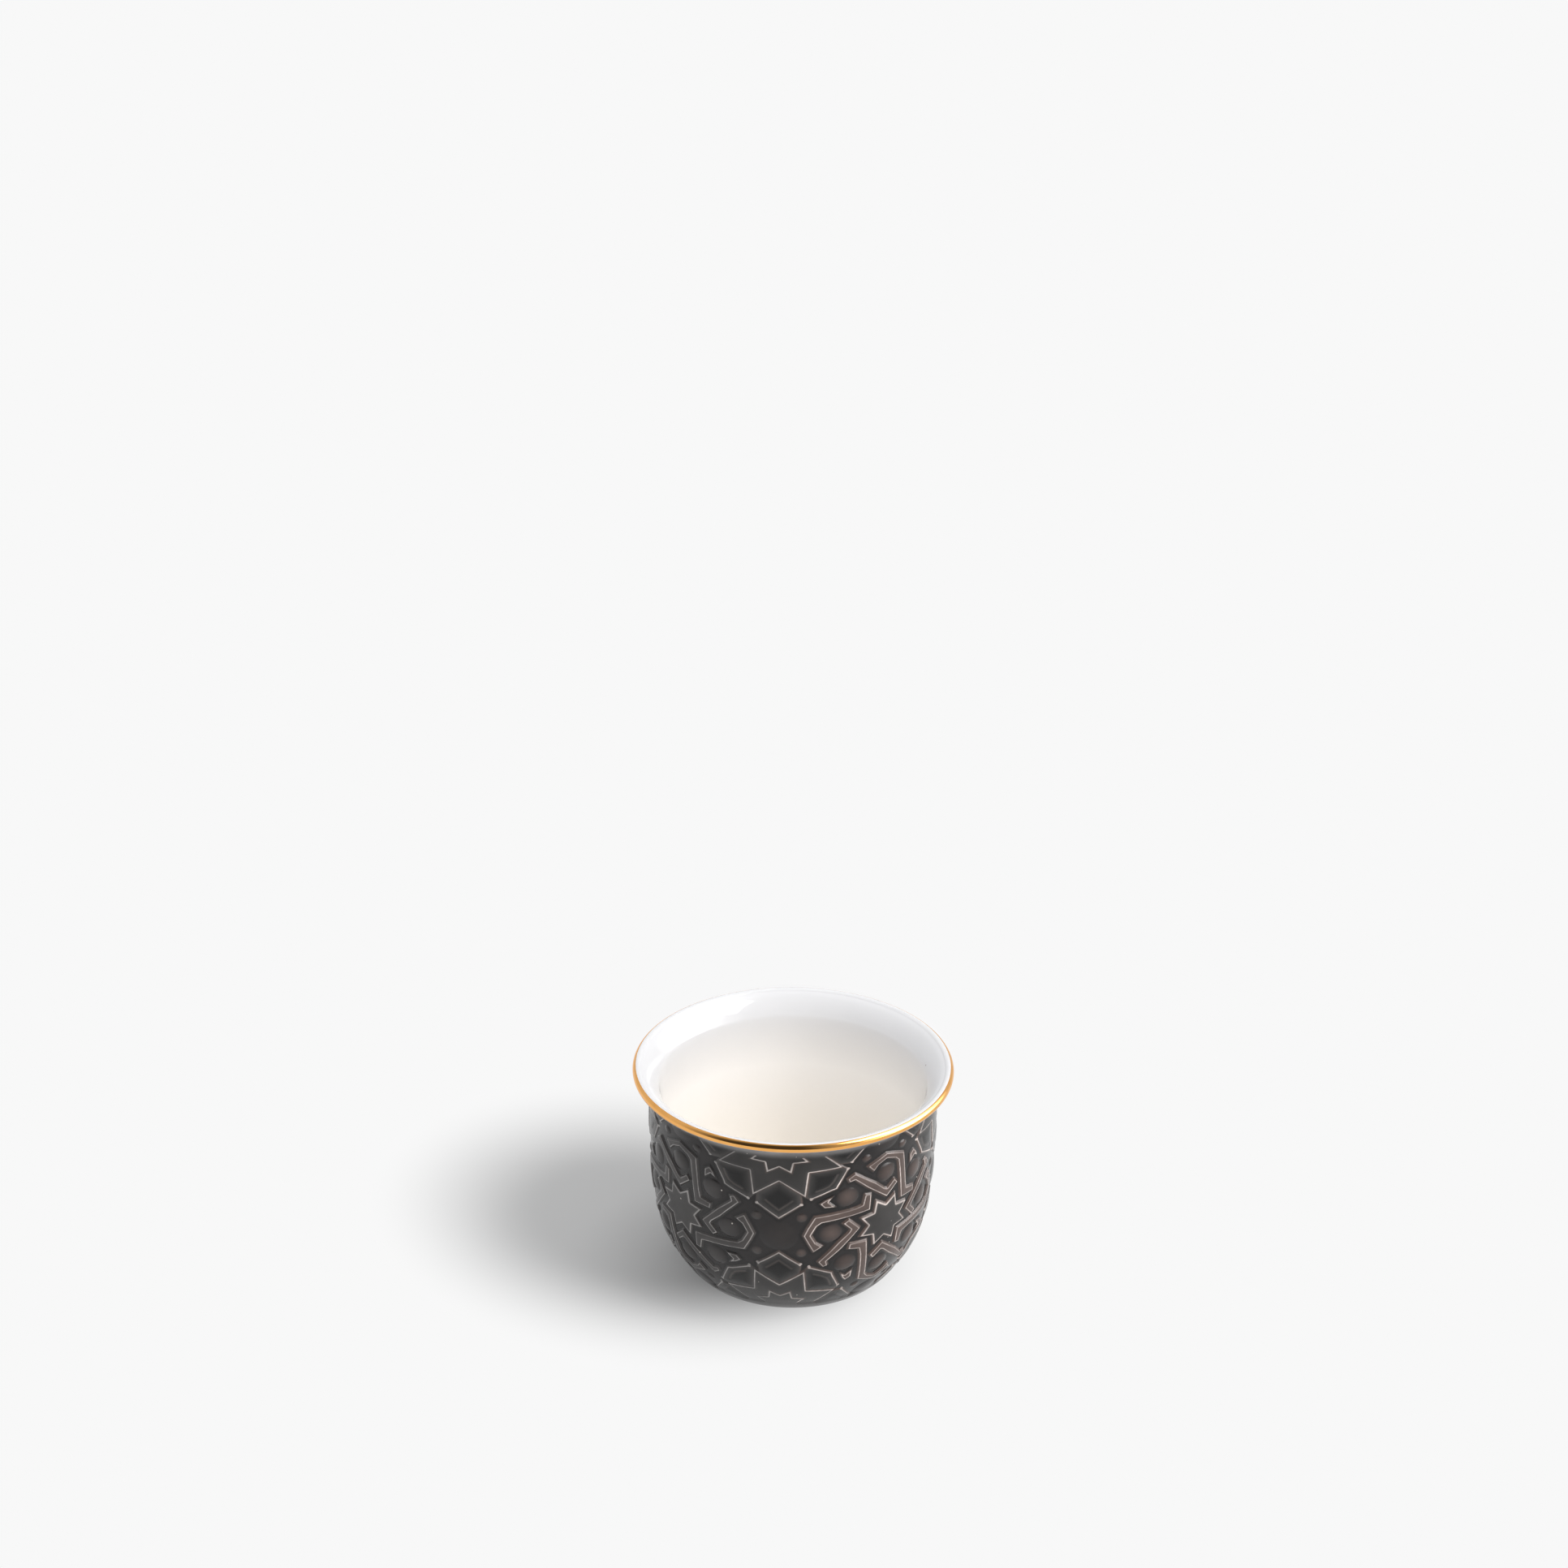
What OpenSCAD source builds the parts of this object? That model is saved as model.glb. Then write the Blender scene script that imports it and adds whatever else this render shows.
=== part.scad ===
// Arabic coffee cup: a small handleless porcelain cup on a low foot ring. Outside it has a dark
// glaze over a moulded star-and-strap relief, inside it is white, and its rolled lip is gilded.
// Units are millimetres, +Z is up and the origin is the centre of the foot ring's underside.
// The front of the cup is -Y, and turns are counted from the front towards +X.

/* [Cup] */
// Height of the lip's widest circle above the table
rim_height = 46.3; // [42:0.1:52]
// Diameter of the upright upper wall, over the relief
wall_diameter = 57.9; // [54:0.1:59]
// How far the lip stands out past that wall, which makes the lip 64 across
flare_width = 3.05; // [2.4:0.05:4]
// Height of the flare that leads from the wall out to the lip
flare_height = 3.2; // [2.4:0.1:4.4]
// Thickness of the rolled lip
lip_thickness = 2; // [1.6:0.1:2.4]
// Thickness of the wall at the straight part, with its glaze
wall_thickness = 2.6; // [2.2:0.1:3.4]

/* [Foot] */
// Outer diameter of the foot ring
foot_diameter = 32.4; // [28:0.1:38]
// Height of the foot ring, up to the ledge under the bowl
foot_height = 1.2; // [0.9:0.1:2]
// Width of the foot ring from outside to inside
foot_width = 2.6; // [2.2:0.1:4]
// Depth of the hollow inside the foot ring
well_depth = 1.8; // [1.2:0.1:2.4]
// Thickness of the cup's floor above that hollow
floor_thickness = 3.2; // [2.6:0.1:5]
// Height of the bare clay at the foot's underside, where the glaze is wiped off
bare_height = 0.3; // [0.2:0.05:0.5]

/* [Coats] */
// Thickness of the glaze, inside and outside
glaze_thickness = 0.4; // [0.3:0.05:0.5]
// Thickness of the gold on the lip
gold_thickness = 0.1; // [0.06:0.01:0.2]
// How far the gold reaches down outside, below the lip's widest circle
gold_drop = 0.42; // [0.2:0.02:0.7]

/* [Relief] */
// Pattern repeats round the cup
repeats = 4; // [3:1:5]
// Turn of the first star from the front, in degrees
relief_turn = 39.8; // [0:0.1:90]
// Height of the relief above its ground
relief_height = 0.45; // [0.3:0.05:0.6]
// Plain glaze along the wall between the ledge and the relief
plain_foot = 7; // [5:0.1:10]
// Plain glaze along the wall between the relief and the flare
plain_neck = 0.4; // [0.2:0.1:3]
// Width of the interlaced straps
strap_width = 1.6; // [1.2:0.1:1.9]
// Tip radius of the eight-pointed stars
star_radius = 6; // [5:0.1:6.4]
// Radius of the six-sided buttons between the straps
button_radius = 1.65; // [1.3:0.05:1.9]

/* [Hidden] */

// Steps of the smooth curves, and facets round the relief coat
curve_steps = 2;
arc_step = 28;
relief_facets = 36;
$fn = 96;

foot_r = foot_diameter / 2;
wall_r = wall_diameter / 2;
lip_r = lip_thickness / 2;
rim_diameter = wall_diameter + 2 * flare_width;
lip_centre = [rim_diameter / 2 - lip_r, rim_height];
neck_z = rim_height - flare_height;
floor_z = well_depth + floor_thickness;
inner_r = wall_r - wall_thickness;

// Angles round the lip's bead, from its underside over the top to the inside
bead_start = -105;
gold_start = -asin(gold_drop / lip_r);
gold_end = 90;
bead_end = 140;

// Outer curve of the bowl: share of the way from foot radius to wall radius, and share of the
// height from the ledge to the flare
bowl_shares = [
    [0.097, 0], [0.29, 0.033], [0.416, 0.069], [0.605, 0.146], [0.764, 0.236], [0.884, 0.351],
    [0.943, 0.465], [0.984, 0.618], [1, 0.771], [0.998, 0.909], [0.987, 1]
];
// Outer curve of the flare: shares of the way from the neck to the underside of the bead
flare_shares = [[0.22, 0.46], [0.7, 0.885], [1, 1]];
// Inner curve of the bowl: share of the inner radius, and share of the height from floor to neck
inner_shares = [
    [0, 0], [0.34, 0], [0.53, 0.004], [0.665, 0.022], [0.76, 0.063], [0.843, 0.137], [0.908, 0.241],
    [0.953, 0.362], [0.976, 0.499], [0.991, 0.643], [0.999, 0.787], [1.003, 0.905]
];
// Inner curve of the flare: shares of the way from the inner radius at the neck to the bead
mouth_shares = [[0.09, -0.2], [0.223, 0.155], [0.48, 0.54], [0.76, 0.838]];

// Smooth line through given points, and the same line moved sideways to its right
function mix(a, b, share) = a + (b - a) * share;
function unit(v) = v / norm(v);
function spline(a, b, c, d, t) =
    (2 * b + (c - a) * t + (2 * a - 5 * b + 4 * c - d) * t * t + (3 * b - a - 3 * c + d) * t * t * t) / 2;
function smooth_line(p) =
    let (last = len(p) - 1)
    concat(
        [for (i = [0:last - 1], k = [0:curve_steps - 1])
            spline(p[max(i - 1, 0)], p[i], p[i + 1], p[min(i + 2, last)], k / curve_steps)],
        [p[last]]
    );
function heading(p, i) = unit(p[min(i + 1, len(p) - 1)] - p[max(i - 1, 0)]);
function right_of(d) = [d[1], -d[0]];
function shifted(p, distance) = [for (i = [0:len(p) - 1]) p[i] + right_of(heading(p, i)) * distance];
function reversed(p) = [for (i = [len(p) - 1:-1:0]) p[i]];
function lengths(p) =
    [for (i = 0, s = 0; i < len(p); s = s + norm(p[min(i + 1, len(p) - 1)] - p[i]), i = i + 1) s];
function bead(r, from, to) =
    let (steps = max(1, ceil(abs(to - from) / arc_step)))
    [for (k = [0:steps]) let (a = mix(from, to, k / steps)) lip_centre + r * [cos(a), sin(a)]];

// Outside of the cup from the ledge to the bead, and its inside from the floor's centre to the bead
bead_under = bead(lip_r, bead_start, bead_start)[0];
bead_inside = bead(lip_r, bead_end, bead_end)[0];
bowl_points = [for (p = bowl_shares) [mix(foot_r, wall_r, p[0]), mix(foot_height, neck_z, p[1])]];
neck = bowl_points[len(bowl_points) - 1];
flare_points = [
    for (p = flare_shares) [mix(neck[0], bead_under[0], p[0]), mix(neck[1], bead_under[1], p[1])]
];
outside = smooth_line(concat(bowl_points, flare_points));
inner_points = [for (p = inner_shares) [inner_r * p[0], mix(floor_z, neck_z, p[1])]];
mouth_points = [
    for (p = mouth_shares) [mix(inner_r, bead_inside[0], p[0]), mix(neck_z, bead_inside[1], p[1])]
];
inside = smooth_line(concat(inner_points, mouth_points, [bead_inside]));

// The relief's ground sinks below the outside between the two plain bands
outside_length = lengths(outside);
wall_length = outside_length[len(outside) - 1];
neck_index = (len(bowl_points) - 1) * curve_steps;
neck_length = outside_length[neck_index];
relief_start = plain_foot;
relief_end = neck_length - plain_neck;
sink_share = 0.04;
sink_length = sink_share * wall_length;
function ease(share) = let (t = max(0, min(1, share))) t * t * (3 - 2 * t);
function sunk(s) =
    ease((s - relief_start) / sink_length + 1) * ease((relief_end - s) / sink_length + 1);
ground = [
    for (i = [0:len(outside) - 1])
        outside[i] - right_of(heading(outside, i)) * relief_height * sunk(outside_length[i])
];
// The ground under the relief and the clay under the glaze follow the given points alone
ground_coarse = [for (i = [0:curve_steps:len(ground) - 1]) ground[i]];
glaze_outside = concat(
    [for (i = [0:curve_steps:neck_index]) ground[i]],
    [for (i = [neck_index + 1:len(ground) - 2]) ground[i]]
);
body_outside = shifted(ground_coarse, -glaze_thickness);
under_glaze = [for (i = [0:len(body_outside) - 2]) body_outside[i]];
// The faceted coat stands just clear of the round clay
coat_gap = 0.01;
function clear_of_clay(p) = [for (q = p) [q[0] / cos(180 / relief_facets) + coat_gap, q[1]]];
body_inside = [for (p = shifted(inside, glaze_thickness)) [max(0, p[0]), p[1]]];

// Place on the outside at a length from the ledge: radius, height and the wall's outward direction
radius_table = [for (i = [0:len(outside) - 1]) [outside_length[i], outside[i][0]]];
height_table = [for (i = [0:len(outside) - 1]) [outside_length[i], outside[i][1]]];
out_table = [for (i = [0:len(outside) - 1]) [outside_length[i], right_of(heading(outside, i))[0]]];
up_table = [for (i = [0:len(outside) - 1]) [outside_length[i], right_of(heading(outside, i))[1]]];
function wall_out(s) = unit([lookup(s, out_table), lookup(s, up_table)]);
function wall_point(s, lift) =
    let (
        held = max(0, min(wall_length, s)),
        out = wall_out(held)
    )
    [lookup(held, radius_table), lookup(held, height_table)] + out * lift + [-out[1], out[0]] * (s - held);

// Cell coordinates: across from -0.5 to 0.5 is one repeat and up from -0.5 to 0.5 is one cell
// height, with a whole star at 0, 0. Near the lip the pattern is slightly squeezed.
squeeze_from_share = 0.2;
squeeze_share = 0.5;
function squeezed(up) = up - squeeze_share * pow(max(0, up - squeeze_from_share), 2);
cell_height = (relief_end - relief_start) / (squeezed(0.5) - squeezed(-0.5));
star_row = relief_start - squeezed(-0.5) * cell_height;
function wall_length_at(up) = star_row + cell_height * squeezed(up);
function turn_at(across) = relief_turn + across * 360 / repeats;
function on_cup(p, lift) =
    let (
        w = wall_point(wall_length_at(p[1]), lift),
        a = turn_at(p[0])
    )
    [w[0] * sin(a), -w[0] * cos(a), w[1]];
// Lifts above the outside: the foot of a raised piece lies inside the glaze, flat plates stay a
// little lower than the straps, and the buttons' flat ends stand a little higher
root_share = 0.4;
plate_share = 0.2;
crown_share = 0.1;
root_lift = -relief_height - glaze_thickness * root_share;
plate_lift = -relief_height * plate_share;
button_lift = relief_height * crown_share;
bevel_share = 0.16;
button_top_share = 0.55;

// Tables of the pattern, as shares of a cell measured from a star's centre
// Straps that leave a star's tip along its axis, and those that leave between two axes and cap
// the next field, each with the short hook that crosses behind it
axis_strap_shares = [[0.191, -0.052], [0.155, 0], [0.303, 0.162]];
cap_strap_shares = [[0.163, 0.097], [0.108, 0.108], [0.0885, 0.335], [0, 0.373], [-0.082, 0.328]];
button_shares = [[0.27, 0], [0.192, 0.198]];
arrow_shares = [[0.14, 0.253], [0.174, 0.278], [0.207, 0.267], [0.168, 0.32]];
arrow_centre_share = [0.17, 0.292];
// Pieces round the half stars at the top and bottom of the relief
ring_valley_share = 0.19;
ring_tip_share = 0.3;
star_gap_share = 0.02;
rhomb_shares = [
    [0, 0.405], [-0.05, 0.364], [-0.1, 0.325], [-0.083, 0.292], [0, 0.212], [0.083, 0.292],
    [0.1, 0.325], [0.05, 0.364]
];
rhomb_centre_share = [0, 0.312];
half_rhomb_shares = [[0.405, 0], [0.364, 0.05], [0.325, 0.1], [0.292, 0.083], [0.212, 0]];
half_rhomb_centre_share = [0.315, 0.03];
petal_shares = [
    [0.297, 0.14], [0.257, 0.23], [0.25, 0.254], [0.137, 0.308], [0.123, 0.275], [0.138, 0.148],
    [0.265, 0.123]
];
petal_centre_share = [0.2, 0.2];
pillow_share = 0.068;
valley_share = 0.65;

function turned(p, a) = [p[0] * cos(a) - p[1] * sin(a), p[0] * sin(a) + p[1] * cos(a)];
function across_from(p) = [-p[0], p[1]];
function placed(list, centre, a) = [for (p = list) centre + turned(p, a)];
function circle_points(centre, r, count, a) =
    [for (k = [0:count - 1]) centre + turned([r, 0], a + k * 360 / count)];
// Eight-pointed star from valley to valley, whole with 16 corners and half with 9
star_tips = 8;
corner_turn = 180 / star_tips;
function star_points(centre, tip, valley, corners, a) =
    [for (k = [0:corners - 1])
        centre + turned([k % 2 == 0 ? valley : tip, 0], a + k * corner_turn)];
// Line cut into pieces that are short enough to follow the wall
longest_share = 0.14;
function divided(p) =
    concat(
        [for (i = [0:len(p) - 2])
            let (parts = ceil(norm(p[i + 1] - p[i]) / longest_share))
            for (k = [0:parts - 1]) mix(p[i], p[i + 1], k / parts)],
        [p[len(p) - 1]]
    );
// Edge of a strap beside the point i of its middle line, mitred at a bend
function edge_point(p, i, half) =
    let (
        before = right_of(unit(p[max(i, 1)] - p[max(i, 1) - 1])),
        after = right_of(unit(p[min(i + 1, len(p) - 1)] - p[min(i, len(p) - 2)])),
        middle = unit(before + after)
    )
    p[i] + middle * half / max(0.5, middle * before);

// Solid swept through a row of four-sided sections, each listed foot left, foot right, top right
// and top left as seen along the row
module sweep(sections) {
    last = 4 * (len(sections) - 1);
    sides = [for (i = [0:len(sections) - 2], k = [0:3])
        let (a = 4 * i + k, b = 4 * i + (k + 1) % 4)
        each [[a, b, b + 4], [a, b + 4, a + 4]]];
    ends = [[3, 2, 1], [3, 1, 0], [last, last + 1, last + 2], [last, last + 2, last + 3]];
    polyhedron([for (s = sections) each s], concat(sides, ends));
}

// Raised strap along a line of cell coordinates
module strap(line, width) {
    p = divided(line);
    half_foot = width / 2;
    half_top = half_foot * (1 - bevel_share);
    sweep([for (i = [0:len(p) - 1]) [
        on_cup(edge_point(p, i, -half_foot), root_lift),
        on_cup(edge_point(p, i, half_foot), root_lift),
        on_cup(edge_point(p, i, half_top), 0),
        on_cup(edge_point(p, i, -half_top), 0)
    ]]);
}

// Raised flat plate: an outline bevelled towards a centre
module plate(centre, outline) {
    count = len(outline);
    points = concat(
        [for (p = outline) on_cup(p, root_lift)],
        [for (p = outline) on_cup(mix(p, centre, bevel_share), plate_lift)],
        [on_cup(centre, plate_lift), on_cup(centre, root_lift)]
    );
    high = 2 * count;
    low = high + 1;
    faces = [for (i = [0:count - 1])
        let (j = (i + 1) % count)
        each [[i, i + count, j + count], [i, j + count, j], [i + count, high, j + count], [low, i, j]]];
    polyhedron(points, faces);
}

// Rounded cushion: the convex shape round its foot, its bevelled edge and its crown
module cushion(centre, outline) {
    points = concat(
        [for (p = outline) on_cup(p, root_lift)],
        [for (p = outline) on_cup(mix(p, centre, bevel_share), plate_lift)],
        [on_cup(centre, 0)]
    );
    hull() polyhedron(points, [[for (i = [0:len(points) - 1]) i]]);
}

// Half of a raised star-shaped ring, between a gap round the half star and the zigzag line
module zigzag_band(centre, a) {
    tip = star_radius / cell_height + star_gap_share;
    valley = star_radius * valley_share / cell_height + star_gap_share;
    inner = star_points(centre, tip, valley, 9, a);
    outer = star_points(centre, ring_tip_share, ring_valley_share, 9, a);
    sweep([for (k = [0:8]) [
        on_cup(inner[k], root_lift),
        on_cup(outer[k], root_lift),
        on_cup(mix(outer[k], inner[k], bevel_share), 0),
        on_cup(mix(inner[k], outer[k], bevel_share), plate_lift)
    ]]);
}

// Six-sided button with sloping sides, square to the wall
module button(p) {
    w = wall_length_at(p[1]);
    out = wall_out(w);
    a = turn_at(p[0]);
    at = on_cup(p, 0);
    across = [cos(a), sin(a), 0];
    along = [-out[1] * sin(a), out[1] * cos(a), out[0]];
    square_out = [out[0] * sin(a), -out[0] * cos(a), out[1]];
    button_top = button_radius * button_top_share;
    multmatrix([for (k = [0:2]) [across[k], along[k], square_out[k], at[k]]])
        translate([0, 0, root_lift])
            cylinder(h = button_lift - root_lift, r1 = button_radius, r2 = button_top, $fn = 6);
}

// Everything round one whole star
module star_field(centre) {
    tip = star_radius / cell_height;
    plate(centre, star_points(centre, tip, tip * valley_share, 16, 0));
    for (a = [0:90:270]) {
        strap(placed(axis_strap_shares, centre, a), strap_width / cell_height);
        strap(placed(cap_strap_shares, centre, a), strap_width / cell_height);
        for (p = button_shares) button(centre + turned(p, a));
        plate(centre + turned(arrow_centre_share, a), placed(arrow_shares, centre, a));
    }
}

// Everything round one half star, which opens away from the relief's edge towards the turn a
module half_star_field(centre, a) {
    tip = star_radius / cell_height;
    middle = centre + turned([0, tip / 2], a);
    plate(middle, star_points(centre, tip, tip * valley_share, 9, a));
    zigzag_band(centre, a);
    plate(centre + turned(rhomb_centre_share, a), placed(rhomb_shares, centre, a));
    for (b = [a, a + 90])
        plate(centre + turned(petal_centre_share, b), placed(petal_shares, centre, b));
    plate(centre + turned(half_rhomb_centre_share, a), placed(half_rhomb_shares, centre, a));
    plate(
        centre + turned(across_from(half_rhomb_centre_share), a),
        placed(reversed([for (p = half_rhomb_shares) across_from(p)]), centre, a)
    );
}

// Smooth pillow between two stars, whole in the row of stars and half at the relief's edges
pillow_corners = 8;
pillow_turn = 360 / pillow_corners;
module pillow(centre) {
    cushion(centre, circle_points(centre, pillow_share, pillow_corners, 0));
}
module half_pillow(centre, a) {
    middle = centre + turned([0, pillow_share / 2], a);
    outline = [
        for (k = [0:pillow_corners / 2]) centre + turned([pillow_share, 0], a + k * pillow_turn)
    ];
    cushion(middle, outline);
}

// The moulded pattern: whole stars, half stars above and below them, and pillows between
module relief() {
    for (k = [0:repeats - 1]) {
        star_field([k, 0]);
        half_star_field([k + 0.5, 0.5], 180);
        half_star_field([k + 0.5, -0.5], 0);
        pillow([k + 0.5, 0]);
        half_pillow([k, 0.5], 180);
        half_pillow([k, -0.5], 0);
    }
}

// Line of the hollow under the cup, moved into the clay by a given depth
well_r = foot_r - foot_width;
well_fillet_share = 0.4;
well_fillet = well_depth * well_fillet_share;
function well_line(depth) =
    concat(
        [[0, well_depth + depth]],
        [for (a = [90:-arc_step / 2:0])
            [well_r - well_fillet, well_depth - well_fillet] + (well_fillet + depth) * [cos(a), sin(a)]],
        [[well_r + depth, bare_height]]
    );
foot_edge_share = 0.2;
foot_edge = foot_width * foot_edge_share;
clay_lip_r = lip_r - glaze_thickness;

// Fired clay under the coats: foot ring, bowl, upright wall and rolled lip
module porcelain_body() {
    color("white")
        rotate_extrude()
            polygon(concat(
                well_line(glaze_thickness),
                [
                    [well_r + glaze_thickness + foot_edge, 0],
                    [foot_r - glaze_thickness - foot_edge, 0],
                    [foot_r - glaze_thickness, bare_height],
                    [foot_r - glaze_thickness, foot_height + glaze_thickness]
                ],
                under_glaze,
                bead(clay_lip_r, bead_start, bead_end),
                reversed([for (i = [0:len(body_inside) - 2]) body_inside[i]])
            ));
}

// Dark glaze from the foot ring to the gold, over the relief
module outer_glaze() {
    color("dimgray")
        union() {
            rotate_extrude($fn = relief_facets)
                polygon(concat(
                    [[foot_r, bare_height], [foot_r, foot_height]],
                    glaze_outside,
                    bead(lip_r, bead_start, gold_start),
                    clear_of_clay(bead(clay_lip_r, gold_start, bead_start)),
                    clear_of_clay(reversed(under_glaze)),
                    clear_of_clay([
                        [foot_r - glaze_thickness, foot_height + glaze_thickness],
                        [foot_r - glaze_thickness, bare_height]
                    ])
                ));
            relief();
        }
}

// White glaze inside, over the lip and on under the gold
module inner_glaze() {
    color("ivory")
        rotate_extrude()
            polygon(concat(
                [for (i = [0:len(inside) - 2]) inside[i]],
                bead(lip_r, bead_end, gold_end),
                bead(lip_r - gold_thickness, gold_end, gold_start),
                bead(clay_lip_r, gold_start, bead_end),
                reversed([for (i = [0:len(body_inside) - 2]) body_inside[i]])
            ));
}

// Fired gold on the outer side of the lip
module gold_rim() {
    color("goldenrod")
        rotate_extrude()
            polygon(concat(
                bead(lip_r, gold_start, gold_end),
                bead(lip_r - gold_thickness, gold_end, gold_start)
            ));
}

// Glaze in the hollow inside the foot ring
module foot_well_glaze() {
    color("ivory")
        rotate_extrude()
            polygon(concat(well_line(0), reversed(well_line(glaze_thickness))));
}

porcelain_body();
outer_glaze();
inner_glaze();
gold_rim();
foot_well_glaze();
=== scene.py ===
# %% [markdown]
# # A small coffee cup with a moulded relief
# The cup is a thin porcelain bowl on a foot ring. It is dark glazed over a moulded relief, white
# inside, and gilded on its lip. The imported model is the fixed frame: it gives the real sizes,
# and every surface below is made in metres in that same frame. The foot stands at height zero,
# the axis of the cup goes through the origin, and its front is on the -Y side.

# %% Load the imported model
import math

import bpy
import numpy as np
from mathutils import Matrix, Vector


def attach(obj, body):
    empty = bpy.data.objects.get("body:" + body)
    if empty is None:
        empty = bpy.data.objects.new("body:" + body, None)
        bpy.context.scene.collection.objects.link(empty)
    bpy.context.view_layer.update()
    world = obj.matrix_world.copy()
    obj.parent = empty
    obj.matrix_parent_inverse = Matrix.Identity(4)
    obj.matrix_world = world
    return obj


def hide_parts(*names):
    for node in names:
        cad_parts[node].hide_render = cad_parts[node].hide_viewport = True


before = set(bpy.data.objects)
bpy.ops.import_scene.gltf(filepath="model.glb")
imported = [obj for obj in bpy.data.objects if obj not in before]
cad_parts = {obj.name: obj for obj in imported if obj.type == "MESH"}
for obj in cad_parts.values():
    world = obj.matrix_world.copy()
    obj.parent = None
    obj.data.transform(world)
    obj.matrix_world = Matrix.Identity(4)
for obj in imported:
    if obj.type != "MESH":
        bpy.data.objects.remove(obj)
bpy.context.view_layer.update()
print("CAD nodes:", sorted(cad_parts))

# %% [markdown]
# ## The camera
# The photograph looks down on the cup by about 26 degrees from 0.83 m away. The lens and the
# place of the camera were worked out from the ellipses that the round lips make in the picture.
# A camera turned by 90 degrees about X looks along +Y, so it is turned by 90 degrees less the
# downward pitch, and then rolled a little about its own axis.

# %% Camera
camera_place = (-0.00237, -0.70154, 0.4525)
camera_pitch = math.radians(90 - 26.081)
camera_roll = math.radians(0.539)

camera_data = bpy.data.cameras.new("camera")
camera_data.lens = 93.27
camera_data.sensor_width = 36
camera_data.clip_start = 0.01
camera = bpy.data.objects.new("camera", camera_data)
camera.matrix_world = (
    Matrix.Translation(camera_place)
    @ Matrix.Rotation(camera_pitch, 4, "X")
    @ Matrix.Rotation(camera_roll, 4, "Z")
)
bpy.context.scene.collection.objects.link(camera)
bpy.context.scene.camera = camera


def picture_place(point, side=1932):
    """Pixel of a point: its sideways and upward share of its depth, times the lens length."""
    seen = camera.matrix_world.inverted() @ Vector(point)
    reach = camera_data.lens / camera_data.sensor_width * side
    return (round(side / 2 - reach * seen.x / seen.z, 1),
            round(side / 2 + reach * seen.y / seen.z, 1))


print("lip left", picture_place((-0.032, 0, 0.0463)), "right", picture_place((0.032, 0, 0.0463)))

# %% [markdown]
# ## Smooth lines and round beads
# A moulded cup is a line of radius and height turned about its axis. That line is known at a few
# heights only. A spline through them gives the swell of the wall without facets, and the rolled
# lip is a plain arc of a circle.

# %% Lines of radius and height
def smooth_line(points, steps):
    """Spline through points: each span is the cubic that heads along its neighbours' chord."""
    p = np.asarray(points, float)
    span = np.arange(len(p) - 1)
    a, b, c, d = (p[np.clip(span + k, 0, len(p) - 1), None] for k in (-1, 0, 1, 2))
    t = (np.arange(steps) / steps)[None, :, None]
    line = (2 * b + (c - a) * t + (2 * a - 5 * b + 4 * c - d) * t**2
            + (3 * b - a - 3 * c + d) * t**3) / 2
    return np.vstack([line.reshape(-1, 2), p[-1:]])


def bead(centre, radius, start, end, steps):
    """Arc of a circle: centre plus radius times cosine and sine of the angle in degrees."""
    angle = np.radians(np.linspace(start, end, steps + 1))
    return np.asarray(centre) + radius * np.stack([np.cos(angle), np.sin(angle)], 1)


print("a quarter of a bead in two steps:", bead((0, 0), 1, 0, 90, 2).round(3).tolist())

# %% [markdown]
# ## The profile of the cup
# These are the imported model's own sizes in millimetres: the bowl swells from a small foot to an
# upright wall, which flares into a rolled lip. The same shares of the way from foot to wall
# give the same curve, here with many more steps, so that it shows no facets.

# %% Sizes of the cup in millimetres
foot_radius = 16.2
wall_radius = 28.95
lip_radius = 1.0
lip_centre = (31.0, 46.3)
ledge_height = 1.2
neck_height = 43.1
floor_height = 5.0
inner_radius = 26.35
glaze_thickness = 0.4
gold_thickness = 0.1
bare_height = 0.3
# Angles round the lip, in degrees up from its outermost line
lip_under, gold_start, gold_end, lip_inside = -105, -24.8, 70, 140
print("across the lip:", 2 * (lip_centre[0] + lip_radius), "height:", lip_centre[1] + lip_radius)

# %% Outer profile
bowl_shares = np.array([
    [0.097, 0], [0.29, 0.033], [0.416, 0.069], [0.605, 0.146], [0.764, 0.236], [0.884, 0.351],
    [0.943, 0.465], [0.984, 0.618], [1, 0.771], [0.998, 0.909], [0.987, 1]])
flare_shares = np.array([[0.22, 0.46], [0.7, 0.885], [1, 1]])
outside_steps = 24

foot_corner = np.array([foot_radius, ledge_height])
wall_corner = np.array([wall_radius, neck_height])
bowl = foot_corner + (wall_corner - foot_corner) * bowl_shares
bead_under = bead(lip_centre, lip_radius, lip_under, lip_under, 0)[0]
flare = bowl[-1] + (bead_under - bowl[-1]) * flare_shares
outside = smooth_line(np.vstack([bowl, flare]), outside_steps)
print("outer profile:", len(outside), "points, from",
      outside[0].round(2), "to", outside[-1].round(2))

# %% Inner profile
inner_shares = np.array([
    [0, 0], [0.34, 0], [0.53, 0.004], [0.665, 0.022], [0.76, 0.063], [0.843, 0.137], [0.908, 0.241],
    [0.953, 0.362], [0.976, 0.499], [0.991, 0.643], [0.999, 0.787], [1.003, 0.905]])
mouth_shares = np.array([[0.09, -0.2], [0.223, 0.155], [0.48, 0.54], [0.76, 0.838]])
inside_steps = 10

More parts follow.
